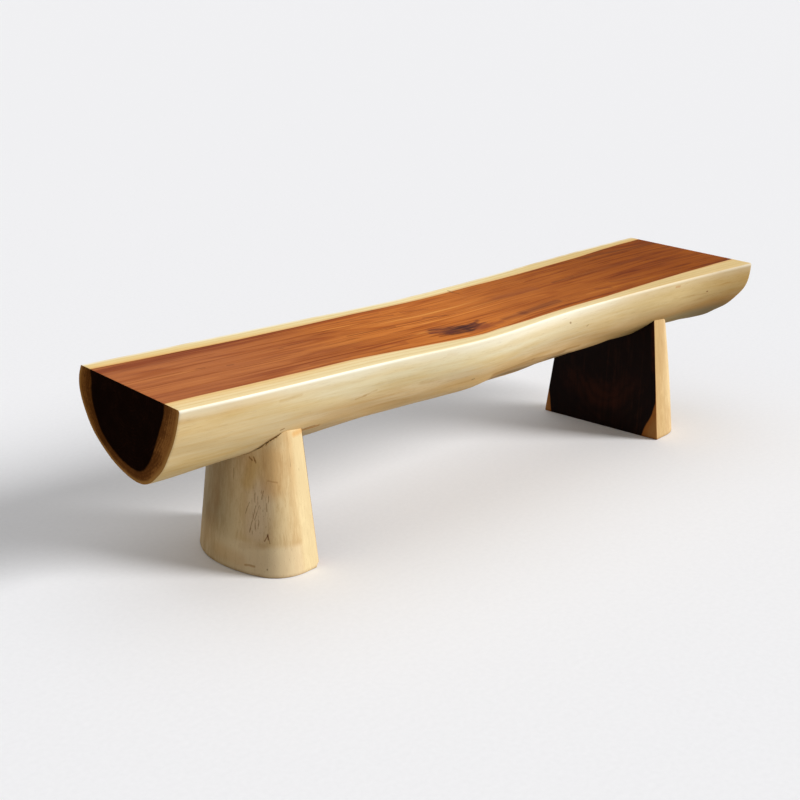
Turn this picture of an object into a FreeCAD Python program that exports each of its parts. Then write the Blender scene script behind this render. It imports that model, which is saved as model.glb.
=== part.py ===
"""Half-log bench: a live-edge seat log on two slab legs, held by loose tenons.

Frame in millimetres: +X along the seat, -Y the front long edge, +Z up, and the origin on
the floor under the middle of the seat's box. The left leg stands at -X, and the log bows to
the front, so its axis lies a little behind the origin.

The seat is a half log lying flat side up. Its round underside swells and bows along its
length, so it is lofted through a row of sections. Each leg is half of a shorter log standing
on end, sawn flat at the front and back, with its top scribed to the round of the seat.
"""
import FreeCAD, Part
import os
from math import hypot, radians, sqrt, tan

DOC = FreeCAD.newDocument("log_bench")
SHEET = DOC.addObject("Spreadsheet::Sheet", "sizes")

# Driving dimensions, in millimetres and degrees
SIZES = [
    ("seat_length", 1856),
    ("seat_height", 450),
    ("seat_half_width", 216),
    ("seat_depth", 212),
    ("seat_bow_offset", 10.55),
    ("seat_arris_radius", 4),
    ("seat_saw_allowance", 0.3),
    ("saw_overrun", 20),
    ("left_leg_inset", 343),
    ("right_leg_inset", 365),
    ("left_leg_turn", 0),
    ("right_leg_turn", 7.9),
    ("leg_thickness", 161),
    ("leg_half_width", 192),
    ("leg_corner_radius", 84),
    ("leg_front_radius", 300),
    ("leg_back_radius", 200),
    ("leg_crown_offset", 12),
    ("leg_lean", 6.8),
    ("leg_inner_lean", 2),
    ("leg_edge_bevel", 3),
    ("tenon_thickness", 30),
    ("tenon_width", 60),
    ("tenon_length", 140),
    ("tenon_cover", 115),
    ("tenon_set_back", 68),
    ("tenon_half_spacing", 48),
    ("tenon_bevel", 4),
    ("mortise_clearance", 0.15),
    ("mortise_end_room", 1.5),
]

for row, (alias, value) in enumerate(SIZES, start=1):
    SHEET.set("A%d" % row, alias)
    SHEET.set("B%d" % row, str(value))
    SHEET.setAlias("B%d" % row, alias)
DOC.recompute()


def size(alias):
    """One driving dimension as a number."""
    return float(getattr(SHEET, alias))


# Round side of the seat at its left and right ends. Each point is a share of the half width,
# from -1 at the front edge to +1 at the back edge, and a share of the depth below the arris.
LEFT_END_SHARES = [
    (-1.0, 0.0),
    (-0.945, 0.17),
    (-0.79, 0.47),
    (-0.62, 0.70),
    (-0.39, 0.893),
    (-0.10, 0.99),
    (0.20, 0.975),
    (0.50, 0.865),
    (0.78, 0.705),
    (0.98, 0.49),
    (1.075, 0.22),
    (1.0, 0.0),
]
RIGHT_END_SHARES = [
    (-1.0, 0.0),
    (-0.985, 0.19),
    (-0.87, 0.45),
    (-0.65, 0.68),
    (-0.39, 0.868),
    (-0.10, 0.98),
    (0.20, 0.985),
    (0.50, 0.89),
    (0.78, 0.72),
    (0.97, 0.48),
    (1.045, 0.22),
    (1.0, 0.0),
]

# Long lines of the seat. Each point is a share of the half length, then a share of the half
# width, or of the depth. The log bows to the front round a branch collar left of its middle,
# and is widest at its right end. Other programs worked the shares out from the photograph: those
# of the edges from points put through its fitted camera, and those of the belly in a fit.
FRONT_EDGE_SHARES = [
    (-1.0, -0.903),
    (-0.70, -0.995),
    (-0.42, -1.058),
    (-0.115, -1.140),
    (0.09, -1.045),
    (0.39, -0.972),
    (0.71, -0.968),
    (1.0, -1.0),
]
BACK_EDGE_SHARES = [
    (-1.0, 0.898),
    (-0.70, 0.826),
    (-0.42, 0.764),
    (-0.115, 0.686),
    (0.09, 0.704),
    (0.39, 0.812),
    (0.71, 0.940),
    (1.0, 1.0),
]
BELLY_SHARES = [
    (-1.0, 1.0),
    (-0.70, 0.948),
    (-0.42, 0.896),
    (-0.115, 0.879),
    (0.09, 0.881),
    (0.39, 0.900),
    (0.71, 0.899),
    (1.0, 0.941),
]
# Where the sections of the seat stand, as shares of the half length, closer at the collar
STATION_SHARES = [
    -1.0, -0.88, -0.77, -0.64, -0.53, -0.44, -0.36, -0.28, -0.21, -0.15, -0.09,
    -0.03, 0.04, 0.12, 0.22, 0.34, 0.47, 0.60, 0.75, 0.88, 1.0,
]


def spline(points, knots):
    curve = Part.BSplineCurve()
    curve.interpolate(Points=points, Parameters=knots)
    return curve


def knots_along(table_shares):
    """Spline parameters by running length, so that lofted sections match each other."""
    knots = [0.0]
    for (a, b), (c, d) in zip(table_shares, table_shares[1:]):
        knots.append(knots[-1] + hypot(c - a, d - b))
    return knots


def share_along(table_shares, along_share):
    """Reads a long line at one place, on a smooth curve through its points."""
    places = [point[0] for point in table_shares]
    points = [FreeCAD.Vector(share, 0, 0) for place, share in table_shares]
    return spline(points, places).value(along_share).x


def section_feature(name, edges):
    section = DOC.addObject("Part::Feature", name)
    section.Shape = Part.Wire([edge.toShape() for edge in edges])
    return section


def loft(name, sections):
    form = DOC.addObject("Part::Loft", name)
    form.Sections = sections
    form.Solid = True
    form.Ruled = True
    return form


def arris(x, y, z, inward, radius):
    """A quarter round that turns from the side of the log onto its sawn top."""
    half_turn = radius * (1 - sqrt(0.5))
    return Part.Arc(
        FreeCAD.Vector(x, y, z - radius),
        FreeCAD.Vector(x, y + inward * half_turn, z - half_turn),
        FreeCAD.Vector(x, y + inward * radius, z))


def seat_section(name, along_share):
    """One section of the seat, blended from the left end's outline to the right end's."""
    blend_share = (1 + along_share) / 2
    offset = size("seat_bow_offset")
    front = offset + size("seat_half_width") * share_along(FRONT_EDGE_SHARES, along_share)
    back = offset + size("seat_half_width") * share_along(BACK_EDGE_SHARES, along_share)
    depth = size("seat_depth") * share_along(BELLY_SHARES, along_share)
    middle = (front + back) / 2
    half_width = (back - front) / 2
    radius = size("seat_arris_radius")
    x = size("seat_length") / 2 * along_share
    top = size("seat_height") + size("seat_saw_allowance")
    points = []
    for left, right in zip(LEFT_END_SHARES, RIGHT_END_SHARES):
        across_share = left[0] + (right[0] - left[0]) * blend_share
        down_share = left[1] + (right[1] - left[1]) * blend_share
        points.append(FreeCAD.Vector(x, middle + half_width * across_share,
                                     top - radius - (depth - radius) * down_share))
    front_arris = arris(x, front, top, 1, radius)
    back_arris = arris(x, back, top, -1, radius)
    sawn = Part.LineSegment(back_arris.EndPoint, front_arris.EndPoint)
    return section_feature(name, [spline(points, knots_along(LEFT_END_SHARES)), back_arris,
                                  sawn, front_arris])


def seat_sections():
    return [seat_section("seat_section_%d" % n, along_share)
            for n, along_share in enumerate(STATION_SHARES, start=1)]


def bind(item, expressions):
    for path, expression in expressions.items():
        item.setExpression(path, expression)


def bevelled(name, base, expression, test):
    """A body that goes on from a solid and bevels those of its edges that pass the test."""
    body = DOC.addObject("PartDesign::Body", name)
    body.BaseFeature = base
    DOC.recompute()
    start = body.Tip
    edges = ["Edge%d" % n for n, edge in enumerate(start.Shape.Edges, start=1) if test(edge)]
    bevel = body.newObject("PartDesign::Chamfer", name + "_bevel")
    bevel.Base = (start, edges)
    bevel.setExpression("Size", expression)
    body.Tip = bevel
    DOC.recompute()
    return body


def make_seat():
    """The log as felled and split: a loft, sawn flat on top."""
    form = loft("seat_log_form", seat_sections())
    reach = "(sizes.seat_half_width + sizes.seat_depth)"
    saw = DOC.addObject("Part::Box", "seat_saw_box")
    bind(saw, {
        "Length": "sizes.seat_length + 2 * sizes.saw_overrun",
        "Width": "2 * " + reach,
        "Height": "sizes.seat_height",
        "Placement.Base.x": "-sizes.seat_length / 2 - sizes.saw_overrun",
        "Placement.Base.y": "-" + reach,
    })
    sawn = DOC.addObject("Part::Common", "seat_log_sawn")
    sawn.Base = form
    sawn.Tool = saw
    return sawn


SIGNS = {"left": -1, "right": 1}


def place_on_leg(item, side, out, back, up):
    """Bind an item's place to a point of a leg: out from its inner face, back and up."""
    sign = SIGNS[side]
    foot = "%d * (sizes.seat_length / 2 - sizes.%s_leg_inset)" % (sign, side)
    turn = "sizes.%s_leg_turn * 1 deg" % side
    item.Placement = FreeCAD.Placement(FreeCAD.Vector(), FreeCAD.Vector(0, 0, 1), 0)
    bind(item, {
        "Placement.Base.x": "%s + %d * (%s) * cos(%s) - (%s) * sin(%s)"
                            % (foot, sign, out, turn, back, turn),
        "Placement.Base.y": "sizes.seat_bow_offset + %d * (%s) * sin(%s) + (%s) * cos(%s)"
                            % (sign, out, turn, back, turn),
        "Placement.Base.z": up,
        "Placement.Rotation.Angle": turn,
    })


def leg_rise():
    """Height of a leg's block, which ends inside the seat before it is scribed."""
    return size("seat_height") - size("seat_depth") / 2


def arc_about(centre, start, end):
    """The shorter arc about a centre, between two points at the same distance from it."""
    middle = (start - centre) + (end - centre)
    return Part.Arc(start, centre + middle.normalize() * (start - centre).Length, end)


def leg_section(side, name, rise, inset):
    """Outline of a leg's log at one height, drawn in by its lean, so that the flat at its
    front is a plane and its three arcs are parts of cones."""
    drawn_in = inset + rise * tan(radians(size("leg_lean")))

    def reach(out, back):
        return FreeCAD.Vector(SIGNS[side] * out, back, 0)

    def place(out, back):
        return reach(out, back) + FreeCAD.Vector(0, 0, rise)

    crown_back = -size("leg_crown_offset")
    front_out = size("leg_thickness") - size("leg_front_radius")
    rear_out = size("leg_thickness") - size("leg_back_radius")
    corner_back = size("leg_corner_radius") - size("leg_half_width")
    radius_gap = size("leg_front_radius") - size("leg_corner_radius")
    corner_out = front_out + sqrt(radius_gap ** 2 - (corner_back - crown_back) ** 2)
    corner = place(corner_out, corner_back)
    front = place(front_out, crown_back)
    rear = place(rear_out, crown_back)

    flat_end = place(corner_out, drawn_in - size("leg_half_width"))
    corner_end = front + (corner - front).normalize() * (size("leg_front_radius") - drawn_in)
    crown = place(size("leg_thickness") - drawn_in, crown_back)
    overrun = size("saw_overrun")
    rear_side = reach(-overrun - rear_out,
                      sqrt(size("leg_back_radius") ** 2 - (overrun + rear_out) ** 2))
    rear_end = rear + rear_side.normalize() * (size("leg_back_radius") - drawn_in)
    flat_start = place(-overrun, drawn_in - size("leg_half_width"))
    return section_feature(name, [
        Part.LineSegment(rear_end, flat_start),
        Part.LineSegment(flat_start, flat_end),
        arc_about(corner, flat_end, corner_end),
        arc_about(front, corner_end, crown),
        arc_about(rear, crown, rear_end),
    ])


def leg_saw(side):
    """What the saw takes off a leg's inner side: a wedge, since that face leans outwards."""
    saw = DOC.addObject("Part::Wedge", side + "_leg_saw")
    waste = "%d * sizes.leg_thickness" % -SIGNS[side]
    rise = "(sizes.seat_height - sizes.seat_depth / 2 + sizes.saw_overrun)"
    lean = "%d * %s * tan(sizes.leg_inner_lean * 1 deg)" % (SIGNS[side], rise)
    near, far = {"left": ("min", "max"), "right": ("max", "min")}[side]
    bind(saw, {
        "X" + near: "0",
        "X" + far: waste,
        "X2" + near: lean,
        "X2" + far: waste,
        "Ymin": "0",
        "Ymax": rise,
        "Zmin": "-2 * sizes.leg_half_width",
        "Zmax": "2 * sizes.leg_half_width",
        "Z2min": "-2 * sizes.leg_half_width",
        "Z2max": "2 * sizes.leg_half_width",
    })
    saw.Placement = FreeCAD.Placement(FreeCAD.Vector(), FreeCAD.Vector(1, 0, 0), 90)
    return saw


def make_leg(side, seat):
    """A standing half log, bevelled at its foot and scribed to the round of the seat."""
    bevel = size("leg_edge_bevel")
    sections = [leg_section(side, side + "_leg_rim_section", 0, bevel),
                leg_section(side, side + "_leg_foot_section", bevel, 0),
                leg_section(side, side + "_leg_top_section", leg_rise(), 0)]
    block = DOC.addObject("Part::Cut", side + "_leg_block")
    block.Base = loft(side + "_leg_form", sections)
    block.Tool = leg_saw(side)
    DOC.recompute()
    leaning = leg_rise() * tan(radians(size("leg_inner_lean")))

    def on_sawn_face(edge):
        box = edge.BoundBox
        return max(-box.XMin, box.XMax) < leaning + bevel and box.ZMin < leg_rise() / 2

    body = bevelled(side + "_leg_bevelled", block, "sizes.leg_edge_bevel", on_sawn_face)
    place_on_leg(body, side, "0", "0", "0")
    scribed = DOC.addObject("Part::Cut", side + "_leg_scribed")
    scribed.Base = body
    scribed.Tool = seat
    return scribed


TENON_SIGNS = {"front": -1, "back": 1}


def tenon_block(name, side, end, clearance, end_room):
    """A block across the joint: a tenon, or a mortise where it is given some room."""
    thickness = "(sizes.tenon_thickness + 2 * %s)" % clearance
    width = "(sizes.tenon_width + 2 * %s)" % clearance
    block = DOC.addObject("Part::Box", name)
    bind(block, {
        "Length": thickness,
        "Width": width,
        "Height": "sizes.tenon_length + 2 * " + end_room,
    })
    out = "sizes.tenon_set_back - %d * %s / 2" % (SIGNS[side], thickness)
    back = "%d * sizes.tenon_half_spacing - %s / 2" % (TENON_SIGNS[end], width)
    foot = "sizes.seat_height - sizes.tenon_cover - sizes.tenon_length - " + end_room
    return block, out, back, foot


def make_tenon(side, end):
    """A blind loose tenon, half in the leg and half in the seat, bevelled at both its ends."""
    name = "%s_%s_tenon" % (side, end)
    block, out, back, foot = tenon_block(name + "_block", side, end, "0", "0")
    DOC.recompute()
    tenon = bevelled(name, block, "sizes.tenon_bevel", lambda edge: edge.BoundBox.ZLength == 0)
    place_on_leg(tenon, side, out, back, foot)
    return tenon


def make_mortise(side, end):
    """The pocket for a tenon, with room at both its ends for glue."""
    block, out, back, foot = tenon_block("%s_%s_mortise" % (side, end), side, end,
                                         "sizes.mortise_clearance", "sizes.mortise_end_room")
    place_on_leg(block, side, out, back, foot)
    return block


def pocketed(label, base, mortises):
    """The finished piece: its mortises are cut last. Its label names its file."""
    tool = DOC.addObject("Part::MultiFuse", label + "_mortises")
    tool.Shapes = mortises
    piece = DOC.addObject("Part::Cut", label + "_piece")
    piece.Base = base
    piece.Tool = tool
    piece.Label = label
    return piece


def check_document():
    for item in DOC.Objects:
        bad = [word for word in item.State if word in ("Invalid", "Error")]
        if bad:
            raise RuntimeError("%s is %s" % (item.Name, bad))


def check_piece(piece):
    shape = piece.Shape
    if shape.isNull() or not shape.isValid():
        raise RuntimeError(piece.Label + " has no valid shape")


def export(pieces):
    os.makedirs("parts", exist_ok=True)
    for piece in pieces:
        piece.Shape.exportStep("parts/%s.step" % piece.Label)
        print("%-18s %2d solid %12.1f mm3" % (piece.Label, len(piece.Shape.Solids),
                                              piece.Shape.Volume))


def main():
    seat = make_seat()
    pieces = []
    mortises = []
    for side in SIGNS:
        leg_mortises = [make_mortise(side, end) for end in TENON_SIGNS]
        mortises += leg_mortises
        pieces.append(pocketed(side + "_leg", make_leg(side, seat), leg_mortises))
        pieces += [make_tenon(side, end) for end in TENON_SIGNS]
    pieces.insert(0, pocketed("seat_log", seat, mortises))
    DOC.recompute()
    check_document()
    for piece in pieces:
        check_piece(piece)
    export(pieces)


main()
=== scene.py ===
"""Looks of the half-log bench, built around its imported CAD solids.

Everything is in metres in the row frame: +X along the seat, -Y the front, +Z up. The seat is
surveyed on its CAD solid and rebuilt as a fine smooth mesh, and the legs are rebuilt from
their own sizes. Each vertex carries its place in its log, from which the materials work out
rings, fibres, heartwood and sapwood.
"""
import bpy
import numpy as np
from math import acos, atan2, cos, hypot, pi, radians, sin, sqrt, tan
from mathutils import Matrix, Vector
from mathutils.bvhtree import BVHTree


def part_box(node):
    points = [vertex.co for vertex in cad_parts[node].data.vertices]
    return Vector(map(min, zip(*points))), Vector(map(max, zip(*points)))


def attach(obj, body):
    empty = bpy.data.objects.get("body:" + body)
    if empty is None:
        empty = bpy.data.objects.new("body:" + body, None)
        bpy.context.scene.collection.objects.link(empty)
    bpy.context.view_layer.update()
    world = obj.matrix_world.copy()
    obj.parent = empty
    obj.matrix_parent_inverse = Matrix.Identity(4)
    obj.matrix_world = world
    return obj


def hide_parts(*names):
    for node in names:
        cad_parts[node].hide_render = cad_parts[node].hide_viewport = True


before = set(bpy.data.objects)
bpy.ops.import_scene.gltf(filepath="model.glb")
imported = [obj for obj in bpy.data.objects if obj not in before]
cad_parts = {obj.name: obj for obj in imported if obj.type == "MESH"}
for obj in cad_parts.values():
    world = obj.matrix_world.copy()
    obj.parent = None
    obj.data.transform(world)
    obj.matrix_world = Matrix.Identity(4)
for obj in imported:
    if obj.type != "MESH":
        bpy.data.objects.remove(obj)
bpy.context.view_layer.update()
SEAT_LOW, SEAT_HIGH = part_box("seat_log")
SEAT_TOP = SEAT_HIGH.z
SEAT_MIDDLE = (SEAT_LOW.x + SEAT_HIGH.x) / 2
HALF_LENGTH = (SEAT_HIGH.x - SEAT_LOW.x) / 2

# Mesh fineness
STATIONS = 336
BELLY_POINTS = 132
TOP_POINTS = 92
ARRIS_POINTS = 4
CAP_RINGS = 20
END_STEPS = 3
LEG_ROWS = 120
FOOT_RINGS = 5
LEG_POINTS = {"face": 150, "facet": 30, "flat": 6, "corner": 52, "front": 46, "rear": 150}

# Seat sizes
SEAT_ARRIS = 0.0045
SEAT_END_ARRIS = 0.0016
SKIN = 0.0002
OUTSIDE = 0.6
TENON_MARGIN = 0.004
LOG_RADIUS = 0.2

# Smoothing of the surveyed log, in metres along it and in radians round it
SMOOTH_ALONG = 0.022
SMOOTH_ROUND = 0.03

# Unevenness of the log: its height, and its wavelengths along the log and round it
UNEVEN_HEIGHT = 0.0011
UNEVEN_LENGTHS = (0.30, 0.13)
# Both ends: their rings stand round a point this share of the radius below the arris, and the
# innermost ring has this share of the outline's size
PITH_SHARE = 0.35
INNERMOST_CAP_SHARE = 0.04

# Edge of the heartwood on the sawn top. Each point is a share of the half length, then a share
# of the half width, from -1 at the front edge to +1 at the back edge. The shares in this and the
# next two tables were worked out from the photograph by other programs, then adjusted.
FRONT_HEART_SHARES = [
    (-1.0, -0.72), (-0.9, -0.70), (-0.6, -0.70), (-0.5, -0.695), (-0.34, -0.75),
    (-0.2, -0.80), (-0.12, -0.832), (-0.06, -0.81), (0.06, -0.85), (0.38, -0.85),
    (0.52, -0.815), (0.75, -0.755), (1.0, -0.70),
]
BACK_HEART_SHARES = [
    (-1.0, 0.775), (-0.8, 0.75), (-0.6, 0.73), (-0.41, 0.752), (-0.25, 0.798), (0.05, 0.785),
    (0.17, 0.783), (0.3, 0.75), (0.43, 0.737), (0.65, 0.75), (0.82, 0.805), (1.0, 0.845),
]
# Edge of the heartwood on the left end: degrees from the back edge down and round to the front
# edge, then the share of the way from the pith to the bark
END_HEART_SHARES = [
    (0, 0.780), (11, 0.757), (21, 0.772), (30, 0.797), (39, 0.828), (47, 0.854), (56, 0.872),
    (75, 0.884), (95, 0.884), (106, 0.866), (119, 0.820), (133, 0.776), (143, 0.746),
    (153, 0.724), (165, 0.722), (180, 0.745),
]
# Low swellings on the belly: place along the seat, angle round it, reach of each and height
BELLY_SWELLINGS = [(-0.085, 2.13, 0.036, 0.26, 0.0038), (0.130, 2.22, 0.075, 0.20, 0.0034)]


def fade(value, low, high):
    """0 below low, 1 above high, and smooth between."""
    share = np.clip((value - low) / (high - low), 0, 1)
    return share * share * (3 - 2 * share)


def smoothed(table, sigma):
    """Gaussian blur down the first axis. Both ends go on point-symmetrically and stay put."""
    reach = int(3 * sigma) + 1
    weights = np.exp(-0.5 * (np.arange(-reach, reach + 1) / sigma) ** 2)
    weights /= weights.sum()
    before = 2 * table[:1] - table[reach:0:-1]
    after = 2 * table[-1:] - table[-2:-reach - 2:-1]
    padded = np.concatenate([before, table, after])
    return sum(weight * padded[k:k + len(table)] for k, weight in enumerate(weights))


def swell(seed, places, wavelengths, waves=14):
    """Smooth random unevenness about 0, summed from sine waves over two coordinates."""
    random = np.random.default_rng(seed)
    total = 0
    for _ in range(waves):
        lengths = np.array(wavelengths) * random.uniform(0.5, 1.6, 2)
        signs = random.choice([-1, 1], 2)
        phase = random.uniform(0, 2 * pi)
        total = total + np.sin(2 * pi * (signs[0] * places[0] / lengths[0]
                                         + signs[1] * places[1] / lengths[1]) + phase)
    return total / sqrt(waves)


def tree_of(points, faces):
    return BVHTree.FromPolygons([Vector(point) for point in points], faces)


def node_tree(node):
    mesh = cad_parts[node].data
    return tree_of([v.co for v in mesh.vertices], [list(p.vertices) for p in mesh.polygons])


def tube(name, rings, attributes, materials, start_caps=0, end_caps=0):
    """A closed mesh through rows of points, each a closed ring, with a fan at both ends. The
    first and last few bands of faces take the second material."""
    rows, around = rings.shape[:2]
    here = np.arange(around)
    after = (here + 1) % around
    first = around * np.arange(rows - 1)[:, None]
    quads = np.stack([first + here, first + after, first + around + after,
                      first + around + here], -1).reshape(-1, 4)
    last = around * (rows - 1)
    start, end = rows * around, rows * around + 1
    fans = [(start, b, a) for a, b in zip(here, after)]
    fans += [(end, last + a, last + b) for a, b in zip(here, after)]
    faces = quads.tolist() + [[int(v) for v in fan] for fan in fans]
    points = np.concatenate([rings.reshape(-1, 3), rings[[0, -1]].mean(1)])
    mesh = bpy.data.meshes.new(name)
    mesh.from_pydata(points.tolist(), [], faces)
    mesh.shade_smooth()
    for material in materials:
        mesh.materials.append(material)
    bands = np.concatenate([np.repeat(np.arange(rows - 1), around),
                            np.repeat([0, rows - 2], around)])
    capped = (bands < start_caps) | (bands >= rows - 1 - end_caps)
    mesh.polygons.foreach_set("material_index", capped.astype(np.int32))
    for key, table in attributes.items():
        values = np.concatenate([table.reshape(rows * around, -1), table[[0, -1]].mean(1)
                                 .reshape(2, -1)]).astype(np.float32)
        if values.shape[1] == 3:
            mesh.attributes.new(key, "FLOAT_VECTOR", "POINT").data.foreach_set(
                "vector", values.ravel())
        else:
            mesh.attributes.new(key, "FLOAT", "POINT").data.foreach_set("value", values.ravel())
    piece = bpy.data.objects.new(name, mesh)
    bpy.context.scene.collection.objects.link(piece)
    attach(piece, "root")
    return piece, tree_of(points, faces)


# Seat log

def survey_seat():
    """Measures the log's round on its CAD solid: its middle line under the arris and, at each
    station, its radius all the way from the back edge round to the front edge."""
    tree = node_tree("seat_log")
    tenons = [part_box(node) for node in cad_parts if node.endswith("tenon")]
    level = SEAT_TOP - SEAT_ARRIS
    stations = np.linspace(-HALF_LENGTH, HALF_LENGTH, STATIONS)
    angles = np.linspace(0, pi, BELLY_POINTS)
    middles = np.zeros(STATIONS)
    radii = np.zeros((STATIONS, BELLY_POINTS))

    def hit(x, start, way):
        return tree.ray_cast(Vector((x, *start)), Vector((0, *way)))[0]

    for i, along in enumerate(stations):
        x = SEAT_MIDDLE + np.clip(along, -HALF_LENGTH + SKIN, HALF_LENGTH - SKIN)
        back = hit(x, (OUTSIDE, level), (-1, 0)).y
        front = hit(x, (-OUTSIDE, level), (1, 0)).y
        middles[i] = (back + front) / 2
        for j, angle in enumerate(angles):
            way = np.array((cos(angle), -sin(angle)))
            found = hit(x, way * OUTSIDE + (middles[i], level), -way)
            radii[i, j] = hypot(found.y - middles[i], found.z - level)
            if any(low.x - TENON_MARGIN < x < high.x + TENON_MARGIN
                   and low.y - TENON_MARGIN < found.y < high.y + TENON_MARGIN
                   for low, high in tenons):
                radii[i, j] = np.nan
    for column in radii.T:
        open_mouth = np.isnan(column)
        column[open_mouth] = np.interp(stations[open_mouth], stations[~open_mouth],
                                       column[~open_mouth])
    spacing = stations[1] - stations[0]
    middles = smoothed(middles, SMOOTH_ALONG / spacing)
    radii = smoothed(radii, SMOOTH_ALONG / spacing)
    radii = smoothed(radii.T, SMOOTH_ROUND / (angles[1] - angles[0])).T
    return stations, angles, middles, radii


def heart_edge(along_shares, angles):
    """Share of the way from the pith to the bark at which the heartwood ends."""
    front = -np.interp(along_shares, *zip(*FRONT_HEART_SHARES))
    back = np.interp(along_shares, *zip(*BACK_HEART_SHARES))
    front = smoothed(front, 2)
    back = smoothed(back, 2)
    end = smoothed(np.interp(np.degrees(angles), *zip(*END_HEART_SHARES)), 4)
    to_front = angles / pi
    return (end + (1 - to_front) * (back[:, None] - END_HEART_SHARES[0][1])
            + to_front * (front[:, None] - END_HEART_SHARES[-1][1]))


# The knot on the sawn top, where a branch left the log, and a small one behind it
KNOT = {"place": (-0.149, -0.150), "reach": (0.115, 0.030)}
SMALL_KNOT = {"place": (0.085, 0.1125), "reach": (0.035, 0.009)}


def flow_round(x, y, across):
    """Leads the fibres round the knots: each is given the lane of a fibre nearer the knot."""
    for knot in (KNOT, SMALL_KNOT):
        dx = (x - knot["place"][0]) / knot["reach"][0]
        dy = (y - knot["place"][1]) / knot["reach"][1]
        push = 0.55 * knot["reach"][1] * np.exp(-0.5 * dx ** 2 - 0.35 * np.abs(dy))
        across = across - push * dy / np.sqrt(dy ** 2 + 0.15)
    return across


def make_seat(materials):
    stations, angles, middles, radii = survey_seat()
    level = SEAT_TOP - SEAT_ARRIS
    along = stations[:, None]
    arc = angles * LOG_RADIUS
    uneven = swell(3, (along + 0 * arc, arc + 0 * along), UNEVEN_LENGTHS)
    uneven = UNEVEN_HEIGHT * (uneven - np.abs(uneven).max())
    radii = radii + uneven * np.sin(angles) ** 0.5
    for x, angle, reach, spread, height in BELLY_SWELLINGS:
        radii += height * np.exp(-0.5 * (((along + SEAT_MIDDLE - x) / reach) ** 2
                                         + ((angles - angle) / spread) ** 2))

    belly_y = middles[:, None] + radii * np.cos(angles)
    belly_z = level - radii * np.sin(angles)
    front, back = belly_y[:, -1:], belly_y[:, :1]
    turn = np.linspace(0, pi / 2, ARRIS_POINTS + 2)[1:]
    front_y = front + SEAT_ARRIS * (1 - np.cos(turn))
    back_y = back - SEAT_ARRIS * (1 - np.cos(turn[::-1]))
    arris_z = level + SEAT_ARRIS * np.sin(turn)
    top_share = np.linspace(0, 1, TOP_POINTS + 2)[1:-1]
    top_y = front_y[:, -1:] + (back_y[:, :1] - front_y[:, -1:]) * top_share
    rows = np.ones((STATIONS, 1))
    y = np.concatenate([belly_y, front_y, top_y, back_y], 1)
    z = np.concatenate([belly_z, rows * arris_z, rows * (SEAT_TOP + 0 * top_share),
                        rows * arris_z[::-1]], 1)

    half_width = (back - front) / 2
    above_y = y[:, BELLY_POINTS:]
    across = np.concatenate([rows * np.cos(angles), (above_y - middles[:, None]) / half_width], 1)
    deep = np.concatenate([rows * np.sin(angles),
                           (level - z[:, BELLY_POINTS:]) / LOG_RADIUS], 1)

    # From the rings of the sides to those of both sawn ends
    centre_z = level - PITH_SHARE * radii[:, BELLY_POINTS // 2]
    end_turn = np.linspace(0, pi / 2, END_STEPS + 1)[1:]
    rings, lanes = [], []

    def add_ring(i, x, scale):
        middle = np.array((middles[i], centre_z[i]))
        outline = middle + scale * (np.stack([y[i], z[i]], 1) - middle)
        rings.append(np.column_stack([np.full(len(outline), x), outline]))
        pith = np.array((0, PITH_SHARE))
        lanes.append(pith + scale * (np.stack([across[i], deep[i]], 1) - pith))

    cap_scales = np.linspace(INNERMOST_CAP_SHARE, 1, CAP_RINGS + 1)[:-1]
    edge = SEAT_END_ARRIS / LOG_RADIUS
    for scale in cap_scales:
        add_ring(0, SEAT_MIDDLE - HALF_LENGTH, scale * (1 - edge))
    for t in end_turn[::-1]:
        x = SEAT_MIDDLE - HALF_LENGTH + SEAT_END_ARRIS * (1 - sin(t))
        add_ring(0, x, 1 - edge * (1 - cos(t)))
    for i in range(1, STATIONS - 1):
        add_ring(i, SEAT_MIDDLE + stations[i], 1)
    for t in end_turn:
        x = SEAT_MIDDLE + HALF_LENGTH - SEAT_END_ARRIS * (1 - sin(t))
        add_ring(-1, x, 1 - edge * (1 - cos(t)))
    for scale in cap_scales[::-1]:
        add_ring(-1, SEAT_MIDDLE + HALF_LENGTH, scale * (1 - edge))
    rings, lanes = np.array(rings), np.array(lanes)

    # Places in the log, and how far each point lies outside the heartwood
    x = rings[..., 0]
    share = np.hypot(lanes[..., 0], lanes[..., 1])
    angle = np.arctan2(np.maximum(lanes[..., 1], 0), lanes[..., 0])
    along_shares = np.clip((x[:, 0] - SEAT_MIDDLE) / HALF_LENGTH, -1, 1)
    limits = heart_edge(np.linspace(-1, 1, STATIONS), angles)
    rows_at = (along_shares + 1) / 2 * (STATIONS - 1)
    below = np.clip(rows_at.astype(int), 0, STATIONS - 2)
    part = (rows_at - below)[:, None]
    limits = limits[below] * (1 - part) + limits[below + 1] * part
    edge_at = np.array([np.interp(a, angles, row) for a, row in zip(angle, limits)])
    flowing = flow_round(x, rings[..., 1], lanes[..., 0] * LOG_RADIUS)
    place = np.stack([x, flowing, lanes[..., 1] * LOG_RADIUS], -1)
    caps = CAP_RINGS + END_STEPS - 1
    attributes = {
        "log_place": place,
        "ring": np.hypot(place[..., 1], place[..., 2]),
        "sap_edge": (share - edge_at) * LOG_RADIUS,
    }
    attributes = {key: table[:, ::-1] for key, table in attributes.items()}
    seat, tree = tube("seat_log_wood", rings[:, ::-1], attributes, materials, caps, caps)
    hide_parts("seat_log")
    return tree


# Leg sizes, as in the CAD source
LEG_THICKNESS = 0.161
LEG_HALF_WIDTH = 0.192
LEG_CORNER_RADIUS = 0.084
LEG_FRONT_RADIUS = 0.300
LEG_BACK_RADIUS = 0.200
LEG_CROWN_OFFSET = 0.012
LEG_LEAN = radians(6.8)
LEG_INNER_LEAN = radians(2)
LEG_FOOT_ARRIS = 0.003
TENON_SET_BACK = 0.068
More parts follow.
